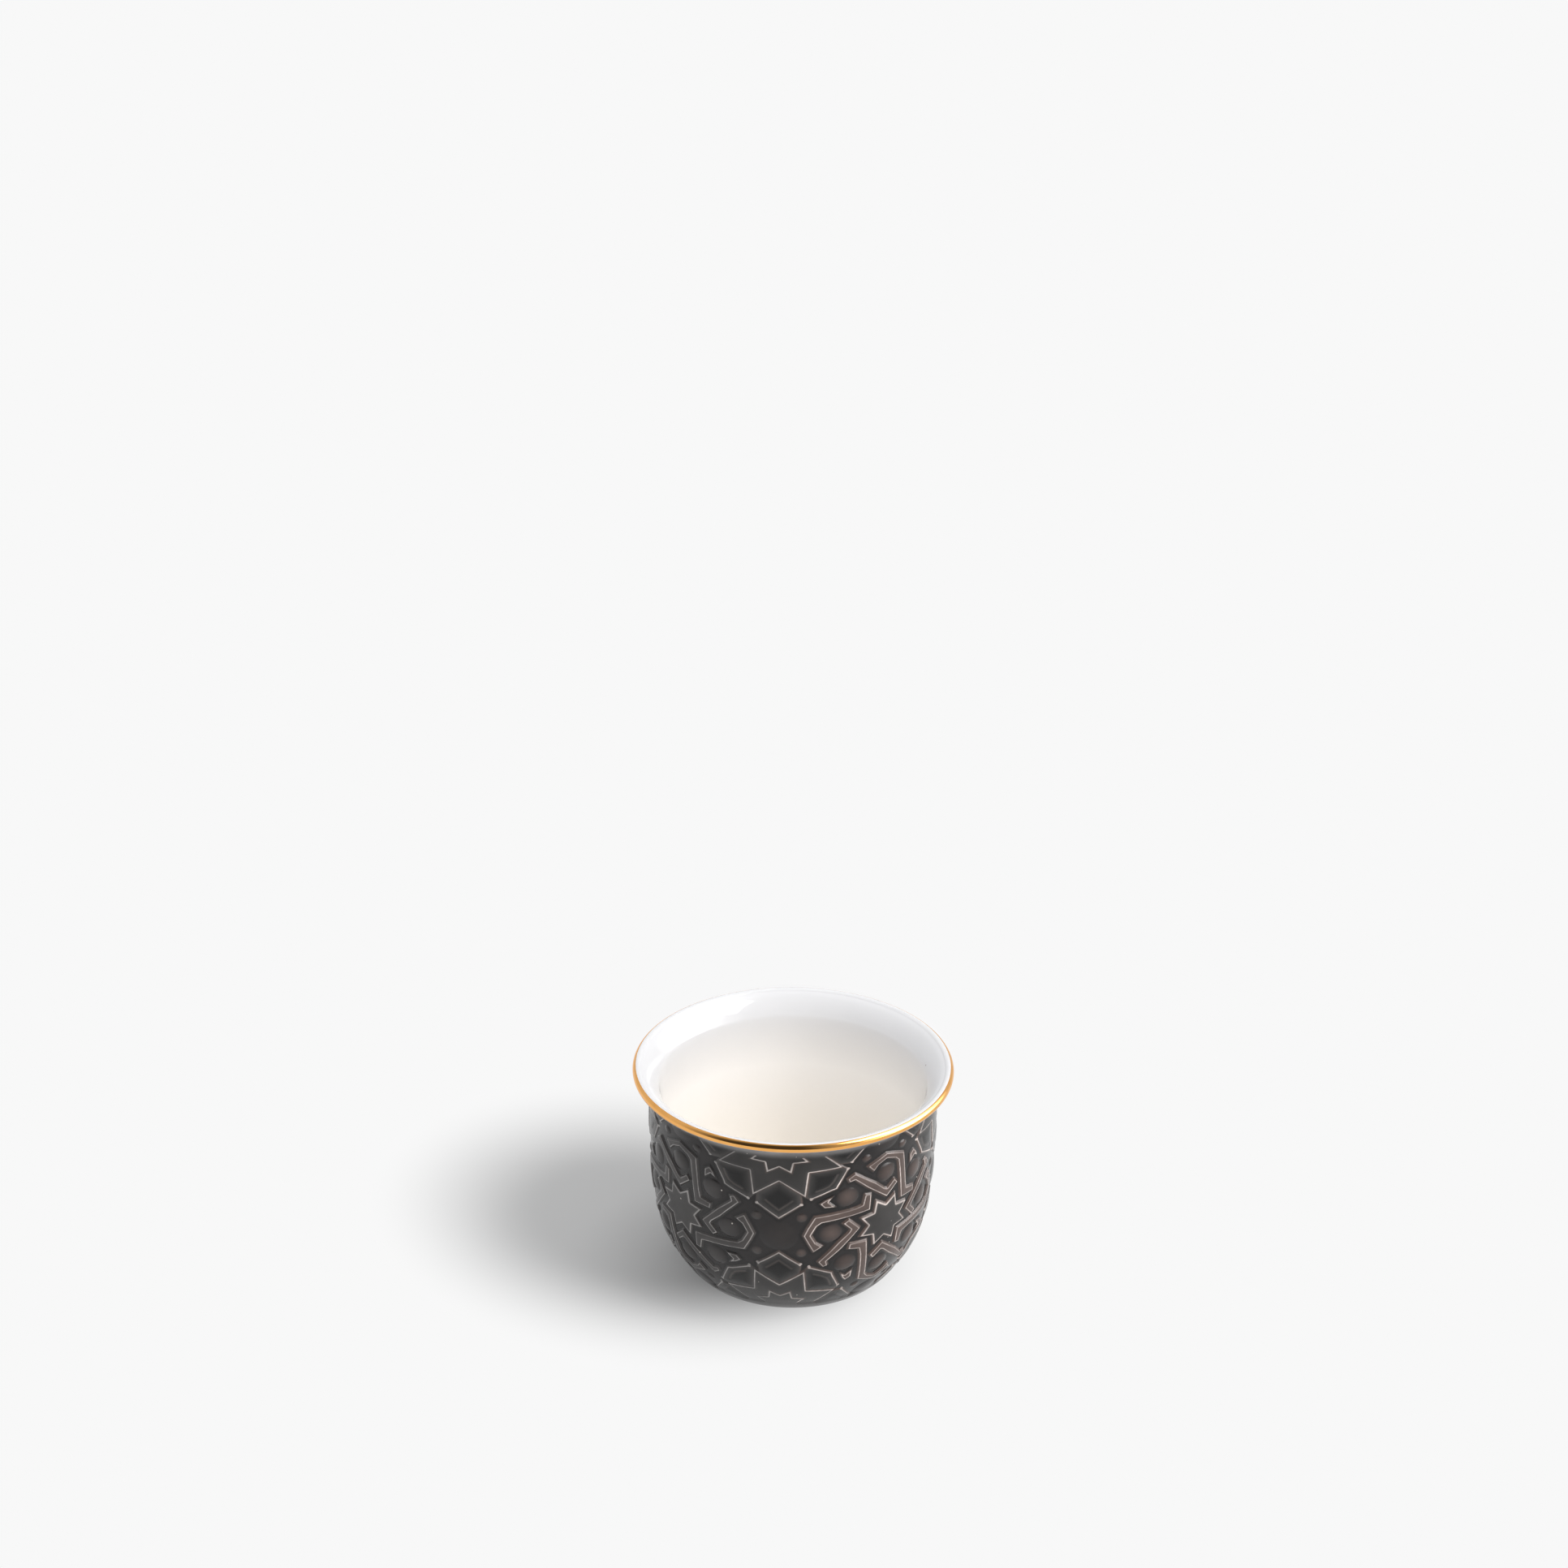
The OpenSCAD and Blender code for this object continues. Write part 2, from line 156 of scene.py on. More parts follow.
bead_inside = bead(lip_centre, lip_radius, lip_inside, lip_inside, 0)[0]
floor_corner = np.array([0, floor_height])
inner_reach = np.array([inner_radius, neck_height])
inner_wall = floor_corner + (inner_reach - floor_corner) * inner_shares
mouth = inner_reach + (bead_inside - inner_reach) * mouth_shares
inside = smooth_line(np.vstack([inner_wall, mouth, bead_inside]), inside_steps)
print("inner profile:", len(inside), "points, from",
      inside[0].round(2), "to", inside[-1].round(2))

# %% [markdown]
# ## The relief, drawn once
# The relief is a field of stars and straps with four turns of symmetry. It repeats four times
# round the cup, so it is enough to draw one cell: a star sits at its corner and another at its
# middle. Sculpting it by hand would never repeat so exactly. Any point of the wall is moved into
# the first quarter of a cell by whole steps and quarter turns instead.

# %% Folding the wall into a quarter of a cell
def quarter_turn(points, turns):
    """Points turned about a corner star by whole quarter turns."""
    c, s = ((1, 0), (0, 1), (-1, 0), (0, -1))[turns % 4]
    return np.stack([c * points[:, 0] - s * points[:, 1], s * points[:, 0] + c * points[:, 1]], 1)


def fold(across, up):
    """Point of the pattern moved into the quarter cell from 0 to 0.5 both ways."""
    x, y = (across + 0.5) % 1 - 0.5, (up + 0.5) % 1 - 0.5
    for _ in range(3):
        away = (x < 0) | (y < 0)
        x, y = np.where(away, -y, x), np.where(away, x, y)
    return x, y


def copies(outline, margin=0.12):
    """Every copy of an outline by quarter turns and whole steps that comes near the quarter."""
    steps = [(i, j) for i in (-1, 0, 1) for j in (-1, 0, 1)]
    moved = [quarter_turn(outline, k) + step for k in range(4) for step in steps]
    return [m for m in moved if m.max(0).min() > -margin and m.min(0).max() < 0.5 + margin]


print("the point 0.75, 0.25 folds to", *fold(np.array(0.75), np.array(0.25)))

# %% [markdown]
# ## Distances to an outline
# Every raised island is a closed outline in shares of a cell. The distance of a point to the
# outline says whether it lies on the island, on its edge or in the groove beside it, and so it
# gives both the height there and how thick the glaze lies.

# %% Distances
def line_distance(x, y, line, closed=False):
    """Least distance to the straight pieces of a line; outside a closed line, minus that."""
    nearest = np.full(x.shape, np.inf)
    inside_line = np.zeros(x.shape, bool)
    ends = np.roll(line, -1, 0)
    for (x0, y0), (x1, y1) in zip(line, ends) if closed else zip(line[:-1], line[1:]):
        dx, dy = x1 - x0, y1 - y0
        along = np.clip(((x - x0) * dx + (y - y0) * dy) / (dx * dx + dy * dy), 0, 1)
        nearest = np.minimum(nearest, np.hypot(x - x0 - along * dx, y - y0 - along * dy))
        if closed and y0 != y1:
            inside_line ^= ((y0 > y) != (y1 > y)) & (x < x0 + (y - y0) * dx / dy)
    return np.where(inside_line, 1, -1) * nearest if closed else nearest


def depth_in(x, y, outline):
    """How deep a point lies inside any copy of an outline; outside, minus its distance."""
    return np.maximum.reduce([line_distance(x, y, m, closed=True) for m in copies(outline)])


def nearest_line(x, y, line):
    """Distance to the nearest copy of an open line."""
    return np.minimum.reduce([line_distance(x, y, m) for m in copies(line)])


unit_square = np.array([[0, 0], [1, 0], [1, 1], [0, 1]])
half = np.array([0.5])
print("depth of a square's middle:", line_distance(half, half, unit_square, closed=True))

# %% [markdown]
# ## The islands
# An eight-pointed star has its corners in turn on two circles. The ring round the middle star is
# a larger star, and two kinds of strap hook round the corner one. The straps bend freely, so
# they are outlines given corner by corner, and the quarter turns make all their copies.

# %% Stars, straps and arrows, in shares of a cell
def zigzag(centre, valley, tip):
    """Eight-pointed star: sixteen corners in turn at the valley and the tip radius."""
    angle = np.radians(22.5) * np.arange(16)
    radius = np.where(np.arange(16) % 2 == 0, valley, tip)
    return np.asarray(centre) + np.stack([radius * np.cos(angle), radius * np.sin(angle)], 1)


middle = np.array([0.5, 0.5])
star_shares = [zigzag((0, 0), 0.092, 0.143), zigzag(middle, 0.092, 0.143)]
ring_shares = zigzag(middle, 0.187, 0.306)
strap_shares = [
    np.array([
        [0.129, -0.002], [0.167, 0.042], [0.217, 0.1], [0.283, 0.164], [0.276, 0.19], [0.3, 0.2],
        [0.326, 0.163], [0.27, 0.1], [0.233, 0.055], [0.186, 0.009], [0.179, -0.005],
        [0.216, -0.047], [0.188, -0.068]]),
    np.array([
        [0.09, 0.083], [0.083, 0.157], [0.073, 0.26], [0.067, 0.312], [0.05, 0.333], [0, 0.357],
        [-0.045, 0.335], [-0.07, 0.303], [-0.103, 0.347], [-0.05, 0.372], [0, 0.394],
        [0.045, 0.376], [0.107, 0.345], [0.111, 0.3], [0.117, 0.233], [0.123, 0.163],
        [0.131, 0.125], [0.186, 0.113], [0.18, 0.079]])]
arrow_shares = np.array([
    [0.148, 0.248], [0.183, 0.281], [0.213, 0.259], [0.196, 0.3], [0.178, 0.325], [0.15, 0.302]])
print("corners of the straps:", [len(s) for s in strap_shares])

# %% [markdown]
# ## The plates and the buttons
# Petals and rhombs are low bevelled plates that slide under the ring. Their free edge carries
# the pale line, so it is kept as an open line of its own. A thinner line is pressed inside each
# plate. Buttons, pillows and lobes are round, and a centre is all that they need.

# %% Petals, rhombs and the centres of the buttons, in shares of a cell
petal_edge_shares = np.array([
    [0.203, 0.36], [0.22, 0.32], [0.243, 0.27], [0.25, 0.246], [0.317, 0.213], [0.363, 0.192]])
petal_shares = np.vstack([petal_edge_shares, [[0.39, 0.225], [0.38, 0.38], [0.225, 0.39]]])
petal_line_shares = np.array([
    [0.338, 0.245], [0.3, 0.262], [0.272, 0.283], [0.259, 0.31], [0.25, 0.338]])
rhomb_edge_shares = middle + np.array([
    [-0.1, -0.325], [-0.05, -0.364], [0, -0.405], [0.05, -0.364], [0.1, -0.325]])
rhomb_shares = np.vstack([
    rhomb_edge_shares, middle + [[0.095, -0.262], [0, -0.175], [-0.095, -0.262]]])
rhomb_line_shares = middle + np.array([[-0.058, -0.3], [0, -0.352], [0.058, -0.3]])
button_shares = np.array([[0.27, 0], [0.192, 0.197]])
pillow_shares = np.array([[0.5, 0]])
lobe_shares = np.array([[0.4, 0.105], [0.4, -0.102]])
line_end_shares = np.vstack([petal_edge_shares[[0, -1]], rhomb_edge_shares[[0, -1]]])
print("round centres:", len(button_shares) + len(pillow_shares) + len(lobe_shares))

# %% [markdown]
# ## Depths and domes
# A mould leaves no sharp corners, so each height comes from a smooth step or a round dome. All
# depths and domes are worked out once for the whole grid, and then used for the height of the
# relief and for the look of the glaze.

# %% Smooth steps and domes
def ease(share):
    """Smooth step from 0 to 1: 3t^2 - 2t^3."""
    t = np.clip(share, 0, 1)
    return t * t * (3 - 2 * t)


def dome(x, y, centres, radius):
    """Rounded button: 1 at its centre, falling with the square of the distance to 0."""
    spots = [m[0] for centre in centres for m in copies(centre[None])]
    distance = np.minimum.reduce([np.hypot(x - spot[0], y - spot[1]) for spot in spots])
    return np.clip(1 - (distance / radius) ** 2, 0, 1)


print("a quarter of the way up, a smooth step has reached", ease(0.25))

# %% Depths, domes and creases at a point
button_radius_share, pillow_radius_share, lobe_radius_share = 0.055, 0.088, 0.026


def depths_at(x, y):
    """Depth in each kind of island, in shares of a cell: the depth in its deepest copy."""
    return {
        "star": np.maximum(*[depth_in(x, y, s) for s in star_shares]),
        "ring": depth_in(x, y, ring_shares),
        "strap": np.maximum(*[depth_in(x, y, s) for s in strap_shares]),
        "arrow": depth_in(x, y, arrow_shares),
        "petal": depth_in(x, y, petal_shares),
        "rhomb": depth_in(x, y, rhomb_shares)}


def domes_at(x, y):
    """Share of the full height that each kind of dome has at a point."""
    return {
        "button": dome(x, y, button_shares, button_radius_share),
        "pillow": dome(x, y, pillow_shares, pillow_radius_share),
        "lobe": dome(x, y, lobe_shares, lobe_radius_share)}


def creases_at(x, y):
    """Distance to the thin line inside a petal and inside a rhomb, in shares of a cell."""
    return {
        "petal": nearest_line(x, y, petal_line_shares),
        "rhomb": nearest_line(x, y, rhomb_line_shares)}


print("depth in the corner star:", depths_at(np.zeros(1), np.zeros(1))["star"].round(3))

# %% [markdown]
# ## Heights of the relief
# Stars and rings are flat, straps are rounded, and plates rise slowly from a low edge. Where two
# of them meet, the higher one counts, as if it lay on top of the other.

# %% Height over the ground, in millimetres
step_share = 0.009
strap_crown_share, arrow_crown_share, plate_crown_share, crease_share = 0.028, 0.03, 0.065, 0.01
star_rise, ring_rise, strap_rise, arrow_rise, plate_rise = 0.42, 0.34, 0.36, 0.3, 0.2
strap_crown, arrow_crown, plate_crown, crease_depth = 0.09, 0.1, 0.16, 0.05
button_rise, pillow_rise, lobe_rise, dome_power = 0.42, 0.36, 0.26, 0.8


def step_up(depth):
    """Side of an island: 0 to 1 over one step's width, half of it on each side of the outline."""
    return ease(depth / step_share + 0.5)


def plate_height(depth, line):
    """Bevelled plate: a step less the crease along its line, plus a crown that goes far in."""
    crease = crease_depth * np.exp(-(line / crease_share) ** 2)
    return (plate_rise - crease) * step_up(depth) + plate_crown * ease(depth / plate_crown_share)


def height_at(depth, domes, creases):
    """Height of the highest island or dome: each is its rise times its step, plus its crown."""
    strap, arrow = depth["strap"], depth["arrow"]
    return np.maximum.reduce([
        star_rise * step_up(depth["star"]),
        ring_rise * step_up(depth["ring"]),
        strap_rise * step_up(strap) + strap_crown * ease(strap / strap_crown_share),
        arrow_rise * step_up(arrow) + arrow_crown * ease(arrow / arrow_crown_share),
        plate_height(depth["petal"], creases["petal"]),
        plate_height(depth["rhomb"], creases["rhomb"]),
        button_rise * domes["button"] ** dome_power,
        pillow_rise * domes["pillow"] ** dome_power,
        lobe_rise * domes["lobe"]])


print("half way up a star's side:", float(star_rise * step_up(0.0)), "mm")

# %% [markdown]
# ## Where the glaze runs thin
# A melted glaze draws back from every upper edge and pools in the grooves. The pale line that it
# leaves is widest round the stars and finest along the straps. Under the ring nothing of a plate
# shows, and the line along a plate ends in small round dots.

# %% The pale line
shoulder_share, line_end_radius_share = 0.0058, 0.013
star_fineness, strap_fineness, arrow_fineness = 0.8, 1.3, 1.2
# A plate's line keeps within this many steps of its free edge
edge_reach = 1.5


def plate_depth(depth):
    """Depth in a petal or rhomb, and minus one cell where the ring lies over it."""
    return np.where(depth["ring"] < -step_share / 2, np.maximum(depth["petal"], depth["rhomb"]), -1)


def line_at(x, y, depth):
    """Distance to the pale line, which keeps a shoulder's width inside each outline."""
    star, ring, strap, arrow = (
        np.abs(depth[name] - shoulder_share) for name in ("star", "ring", "strap", "arrow"))
    free = np.minimum(nearest_line(x, y, petal_edge_shares), nearest_line(x, y, rhomb_edge_shares))
    plate = np.where(free < edge_reach * step_share, np.abs(plate_depth(depth) - shoulder_share), 1)
    nearest = np.minimum.reduce([
        star_fineness * star, ring, strap_fineness * strap, arrow_fineness * arrow, plate])
    return nearest * (1 - dome(x, y, line_end_shares, line_end_radius_share))


print("the line lies", shoulder_share, "of a cell inside an outline")

# %% Thin glaze, creases and painted dark middles
button_thin_share, pillow_thin_share, slope_thin_share = 0.8, 0.15, 1.15
dark_middle_start_share, dark_middle_width_share = 0.012, 0.045


def thin_at(depth, domes):
    """Share by which the glaze is thin: the most of any strap, arrow, dome or island's side."""
    sides = (depth["star"], depth["ring"], depth["strap"], plate_depth(depth))
    slope = np.maximum.reduce([np.exp(-(side / (step_share / 2)) ** 2) for side in sides])
    return np.maximum.reduce([
        step_up(depth["strap"]), step_up(depth["arrow"]), button_thin_share * domes["button"],
        pillow_thin_share * domes["pillow"], domes["lobe"], slope_thin_share * slope])


def crease_at(depth, creases):
    """Distance to the thin line of the plate that a point lies in, and one cell elsewhere."""
    in_rhomb = np.where(depth["rhomb"] > 0, creases["rhomb"], 1)
    return np.where(depth["petal"] > 0, creases["petal"], in_rhomb)


def dark_middle_at(depth):
    """Share of the painted dark reflection in the middle of a plate: a smooth step of its depth."""
    return ease((plate_depth(depth) - dark_middle_start_share) / dark_middle_width_share)


# The painted dark reflection in a plate's middle is full at this depth
print("the pool is full at a depth of", round(dark_middle_start_share + dark_middle_width_share, 3), "of a cell")

# %% [markdown]
# ## Colours and nodes
# Shaders work on linear light, while a colour here is given as an sRGB hex value, so one function
# turns the second into the first. A node tree is a list of nodes with settings and links, so one
# small function adds a node with both. The size of a pattern is given in millimetres of the real
# surface, and a texture wants its waves per metre.

# %% Colour and node helpers
# Sockets of a Mix node: its share, its two colours, the mixed colour, and its two numbers
mix_share, mix_first, mix_second, mixed, number_first, number_second = 0, 6, 7, 2, 2, 3
# Settings of a range that eases in and out, and of a mix of colours
smooth, colours = {"interpolation_type": "SMOOTHSTEP"}, {"data_type": "RGBA"}


def linear(hex_value):
    """Linear colour of an sRGB hex value: c/12.92 below 0.04045, else ((c+0.055)/1.055)^2.4."""
    srgb = np.array([int(hex_value[i:i + 2], 16) for i in (1, 3, 5)]) / 255
    light = np.where(srgb <= 0.04045, srgb / 12.92, ((srgb + 0.055) / 1.055) ** 2.4)
    return (*[float(c) for c in light], 1.0)


def pattern_scale(size_mm):
    """Waves per metre of a pattern of a size in millimetres, to the nearest ten."""
    return float(round(1000 / size_mm, -1))


def add_node(tree, kind, settings=None, links=None):
    """Add a node, set its properties and sockets, and link sockets to the outputs given."""
    node = tree.nodes.new(kind)
    for key, value in (settings or {}).items():
        if isinstance(key, int) or key in node.inputs:
            node.inputs[key].default_value = value
        else:
            setattr(node, key, value)
    for key, output in (links or {}).items():
        tree.links.new(output, node.inputs[key])
    return node


def new_material(name):
    """Empty material with its node tree, ready for a shader."""
    material = bpy.data.materials.new(name)
    material.use_nodes = True
    material.node_tree.nodes.clear()
    return material, material.node_tree


def close_material(tree, colour, waves, bump, gloss):
    """Bump by the height of the waves, shader with the colour and the gloss, and the output."""
    waved = add_node(tree, "ShaderNodeBump", bump, {"Height": waves.outputs["Fac"]})
    shader = add_node(tree, "ShaderNodeBsdfPrincipled", gloss,
                      {"Base Color": colour, "Normal": waved.outputs["Normal"]})
    add_node(tree, "ShaderNodeOutputMaterial", None, {"Surface": shader.outputs[0]})


print("linear light of a middle grey:", round(linear("#808080")[0], 3))

# %% [markdown]
# ## Dark glaze, pooled and flat
# The outside is dipped in a dark glaze. It pools in the grooves and is nearly black there. It is
# darkest right beside each island, where the ramp also paints the shadow beside the island. In the
# middle of the plates the ramp paints a dark reflection, nearly black, and on flat tops the glaze
# is dark grey. Painting that by hand would miss the edges, so the mesh carries the depth in the
# islands, and a colour ramp reads it.

# %% Dark glaze: colour by depth
# Dipped dark glaze, fired glossy: a glass whose colour follows its own thickness
dark_glaze, tree = new_material("dark_glaze_dipped")
place = add_node(tree, "ShaderNodeTexCoord").outputs["Object"]
island_mark, edge_mark, thin_mark, crease_mark, line_mark = (
    add_node(tree, "ShaderNodeAttribute", {"attribute_name": name}).outputs["Fac"]
    for name in ("island", "edge", "thin", "crease", "line"))
# Depth in millimetres: below 0 in the grooves, up to 1 on an island, up to 2 in the painted dark
# middle of a plate
depth_share = add_node(
    tree, "ShaderNodeMapRange", {"From Min": -1.0, "From Max": 2.0}, {"Value": island_mark})
glaze_ramp = add_node(tree, "ShaderNodeValToRGB", None, {"Fac": depth_share.outputs["Result"]})
# The second stop, just outside an island, is pooled glaze plus a painted shadow beside the island.
# The last stop is the painted dark reflection in the middle of a plate.
stops = [
    (0.0, "#282525"), (0.28, "#100f0f"), (0.40, "#4b4847"), (0.66, "#393736"), (1.0, "#141313")]
ramp = glaze_ramp.color_ramp
for share, _ in stops[1:-1]:
    ramp.elements.new(share)
for element, (share, colour) in zip(ramp.elements, stops):
    element.position, element.color = share, linear(colour)
print("stops of the dark ramp:", len(ramp.elements))

# %% [markdown]
# ## Dark glaze, thin, and painted browner on its lit side
# Over straps, slopes and buttons the glaze is thin and looks grey. On the front right flank, which
# faces the lamps, it is painted browner and paler: painted light on that side. The tint is mixed in
# by the direction in which a point lies from the axis, so the back left flank gets it too.

# %% Dark glaze: thin places
# The browner, paler tint on the front right flank is painted light from the lamps on the right; the
# back left flank gets it too
lit_flank = add_node(
    tree, "ShaderNodeVectorMath", {"operation": "DOT_PRODUCT", 1: (0.62, -0.78, 0.0)}, {0: place})
lit_flank_size = add_node(
    tree, "ShaderNodeMath", {"operation": "ABSOLUTE"}, {0: lit_flank.outputs["Value"]})
lit_side_share = add_node(
    tree, "ShaderNodeMapRange", {**smooth, "From Min": 0.013, "From Max": 0.027},
    {"Value": lit_flank_size.outputs[0]})
thin_and_lit_side_tone = add_node(
    tree, "ShaderNodeMix",
    {**colours, mix_first: linear("#444140"), mix_second: linear("#5f514c")},
    {mix_share: lit_side_share.outputs["Result"]})
thin_mix = add_node(
    tree, "ShaderNodeMix", colours,
    {mix_share: thin_mark, mix_first: glaze_ramp.outputs["Color"],
     mix_second: thin_and_lit_side_tone.outputs[mixed]})
# The crease in a petal or rhomb is painted paler, a painted highlight where it catches the light
# from above, and fades out 0.4 mm to each side
crease_highlight_share = add_node(
    tree, "ShaderNodeMapRange", {**smooth, "From Min": 0.4, "From Max": 0.0, "To Max": 0.22},
    {"Value": crease_mark})
crease_highlight_mix = add_node(
    tree, "ShaderNodeMix", {**colours, mix_second: linear("#8a7f7a")},
    {mix_share: crease_highlight_share.outputs["Result"], mix_first: thin_mix.outputs[mixed]})
print("nodes so far:", len(tree.nodes))

# %% [markdown]
# ## Dark glaze, pale edges
# Along the upper edges the clay nearly shows through, in a pale line a quarter of a millimetre
# wide. No edge is equally sharp all along, so noise of about 4 mm weakens the line in places.

# %% Dark glaze: pale edges
# The pale line is painted pinker and paler on the front right flank, as painted light on that side;
# elsewhere it is grey
edge_and_lit_side_tone = add_node(
    tree, "ShaderNodeMix",
    {**colours, mix_first: linear("#b5b1af"), mix_second: linear("#fbece5")},
    {mix_share: lit_side_share.outputs["Result"]})
edge_share = add_node(
    tree, "ShaderNodeMapRange", {**smooth, "From Min": 0.2, "From Max": 0.02}, {"Value": edge_mark})
wear = add_node(
    tree, "ShaderNodeTexNoise", {"Scale": pattern_scale(3.85), "Detail": 2.0}, {"Vector": place})
wear_share = add_node(
    tree, "ShaderNodeMapRange",
    {"From Min": 0.35, "From Max": 0.65, "To Min": 0.55, "To Max": 1.0},
    {"Value": wear.outputs["Fac"]})
worn_edge = add_node(
    tree, "ShaderNodeMath", {"operation": "MULTIPLY"},
    {0: edge_share.outputs["Result"], 1: wear_share.outputs["Result"]})
edge_amount = add_node(
    tree, "ShaderNodeMath", {"operation": "MULTIPLY"}, {0: worn_edge.outputs[0], 1: line_mark})
edge_mix = add_node(
    tree, "ShaderNodeMix", colours,
    {mix_share: edge_amount.outputs[0], mix_first: crease_highlight_mix.outputs[mixed],
     mix_second: edge_and_lit_side_tone.outputs[mixed]})
print("nodes so far:", len(tree.nodes))

# %% [markdown]
# ## Dark glaze, neck and foot
# Just under the lip the coat is painted a lighter grey, a painted sheen where the flare catches the
# reflection of the table. Down at the foot it is a lighter grey too. Both follow the height above
# the table, in metres, and ease in, because a hard border would look painted.

# %% Dark glaze: neck and foot
height = add_node(tree, "ShaderNodeSeparateXYZ", None, {"Vector": place})
# Painted sheen under the lip: a lighter grey where the flare reflects the table
neck_sheen_share = add_node(
    tree, "ShaderNodeMapRange", {**smooth, "From Min": 0.0422, "From Max": 0.0446, "To Max": 0.9},
    {"Value": height.outputs["Z"]})
neck_sheen_mix = add_node(
    tree, "ShaderNodeMix", {**colours, mix_second: linear("#b0aeae")},
    {mix_share: neck_sheen_share.outputs["Result"], mix_first: edge_mix.outputs[mixed]})
foot_share = add_node(
    tree, "ShaderNodeMapRange", {**smooth, "From Min": 0.005, "From Max": 0.002, "To Max": 0.9},
    {"Value": height.outputs["Z"]})
foot_mix = add_node(
    tree, "ShaderNodeMix", {**colours, mix_second: linear("#4e4c4c")},
    {mix_share: foot_share.outputs["Result"], mix_first: neck_sheen_mix.outputs[mixed]})
print("nodes so far:", len(tree.nodes))

# %% [markdown]
# ## Dark glaze, clouds, pinholes with painted glints, and gloss
# The thickness of a dipped glaze wanders over about 6 mm, and so does its colour. Gas from the clay
# leaves a few pinholes of about 0.3 mm, where a cell of the pattern has its middle in the surface;
# they are painted pale, which also paints the small glints on the glaze. Ripples of about 1 mm, a
# hundredth of a millimetre high, break up the gloss.

# %% Dark glaze: clouds, pinholes and gloss
cloud = add_node(
    tree, "ShaderNodeTexNoise", {"Scale": pattern_scale(6.25), "Detail": 3.0}, {"Vector": place})
cloud_light = add_node(
    tree, "ShaderNodeMapRange", {"From Min": 0.3, "From Max": 0.7, "To Min": 0.78, "To Max": 1.2},
    {"Value": cloud.outputs["Fac"]})
cloudy = add_node(
    tree, "ShaderNodeHueSaturation", None,
    {"Color": foot_mix.outputs[mixed], "Value": cloud_light.outputs["Result"]})
# Pinholes, painted pale enough to stand for small glints as well
spots = add_node(tree, "ShaderNodeTexVoronoi", {"Scale": pattern_scale(3.85)}, {"Vector": place})
spot = add_node(
    tree, "ShaderNodeMath", {"operation": "LESS_THAN", 1: 0.042}, {0: spots.outputs["Distance"]})
glint_speckled = add_node(
    tree, "ShaderNodeMix", {**colours, mix_second: linear("#b9b2ab")},
    {mix_share: spot.outputs[0], mix_first: cloudy.outputs["Color"]})
ripple = add_node(
    tree, "ShaderNodeTexNoise", {"Scale": pattern_scale(1.11), "Detail": 2.0}, {"Vector": place})
close_material(
    tree, glint_speckled.outputs[mixed], ripple, {"Strength": 0.25, "Distance": 0.00006},
    {"Roughness": 0.2, "IOR": 1.5, "Specular IOR Level": 0.32})
print("the dark glaze has", len(tree.nodes), "nodes")

# %% [markdown]
# ## White glaze
# White porcelain under a clear glaze, fired to a mirror-like gloss. A ramp over the height paints
# the light inside the cup. The deep part is painted lighter and creamy. Where the mouth opens it is
# a darker grey: painted shade and a painted reflection of the room. A few iron specks of about 0.25
# mm lie in it, as in any white porcelain.

# %% White glaze
white_glaze, tree = new_material("white_glaze_fired")
place = add_node(tree, "ShaderNodeTexCoord").outputs["Object"]
height = add_node(tree, "ShaderNodeSeparateXYZ", None, {"Vector": place})
height_share = add_node(
    tree, "ShaderNodeMapRange", {"From Min": 0.0, "From Max": 0.05}, {"Value": height.outputs["Z"]})
# Painted light inside the cup: lighter and creamy low down, painted darker grey at the mouth
interior_painted_light = add_node(tree, "ShaderNodeValToRGB", None, {"Fac": height_share.outputs["Result"]})
stops = [(0.30, "#f4efe8"), (0.64, "#f6f4f2"), (0.88, "#d9d9db")]
ramp = interior_painted_light.color_ramp
ramp.elements.new(stops[1][0])
for element, (share, colour) in zip(ramp.elements, stops):
    element.position, element.color = share, linear(colour)
specks = add_node(tree, "ShaderNodeTexVoronoi", {"Scale": pattern_scale(8.3)}, {"Vector": place})
speck = add_node(
    tree, "ShaderNodeMath", {"operation": "LESS_THAN", 1: 0.016}, {0: specks.outputs["Distance"]})
specked = add_node(
    tree, "ShaderNodeMix", {**colours, mix_second: linear("#7d6c5e")},
    {mix_share: speck.outputs[0], mix_first: interior_painted_light.outputs["Color"]})
ripple = add_node(
    tree, "ShaderNodeTexNoise", {"Scale": pattern_scale(2.85), "Detail": 2.0}, {"Vector": place})
close_material(
    tree, specked.outputs[mixed], ripple, {"Strength": 0.15, "Distance": 0.00003},
    {"Roughness": 0.06, "IOR": 1.5})
print("the white glaze has", len(tree.nodes), "nodes")

# %% [markdown]
# ## Gold
# Bright gold is brushed on over the fired glaze and fired again. It is a smooth warm metal, and
# faint brush waves of 2.5 mm keep its reflections from looking drawn with a ruler.

# %% Gold
gold, tree = new_material("burnished_gold")
place = add_node(tree, "ShaderNodeTexCoord").outputs["Object"]
waves = add_node(
    tree, "ShaderNodeTexNoise", {"Scale": pattern_scale(2.5), "Detail": 3.0}, {"Vector": place})
tone = add_node(
    tree, "ShaderNodeMix",
    {**colours, mix_first: linear("#eaa858"), mix_second: linear("#f5ba72")},
    {mix_share: waves.outputs["Fac"]})
close_material(
    tree, tone.outputs[mixed], waves, {"Strength": 0.2, "Distance": 0.00004},
    {"Metallic": 1.0, "Roughness": 0.07})
print("the gold has", len(tree.nodes), "nodes")

# %% [markdown]
# ## Bare clay
# Bisque porcelain shows where the glaze was wiped off the foot ring: matt, off-white and
# grained. The grain is far finer than the 0.4 mm drawn here, which is as fine as can show.

